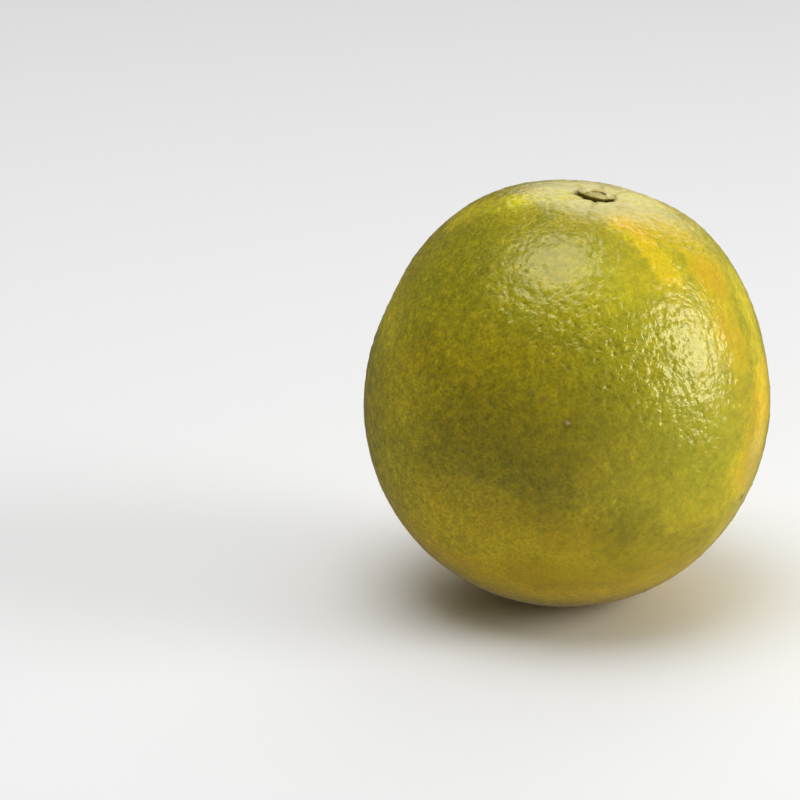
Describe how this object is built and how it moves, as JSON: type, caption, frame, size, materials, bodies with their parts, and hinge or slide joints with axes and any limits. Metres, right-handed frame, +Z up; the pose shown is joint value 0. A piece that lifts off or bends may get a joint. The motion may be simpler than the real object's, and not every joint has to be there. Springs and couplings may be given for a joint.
{
  "type": "pera orange",
  "caption": "Whole oval sweet orange with green and yellow pored rind, a lobed calyx and a clipped stalk end, standing on a small flat spot.",
  "frame": {"origin": "on the surface that the fruit rests on, under the middle of the fruit", "axes": "+Z up through the fruit towards its stalk end; the fruit's own axis leans 7.4 degrees from +Z towards +X; +Y goes away from the viewer of the picture"},
  "size_m": [0.0652, 0.065, 0.0678],
  "materials": {
    "rind": "waxy pored rind, mottled olive green, yellow green and orange yellow, satin gloss",
    "calyx": "dry matt green brown calyx",
    "cut_stalk": "dry clipped stalk end, pale and matt"
  },
  "bodies": {
    "root": {"fruit": "rind", "calyx": "calyx", "stalk_end": "cut_stalk"}
  },
  "joints": []
}
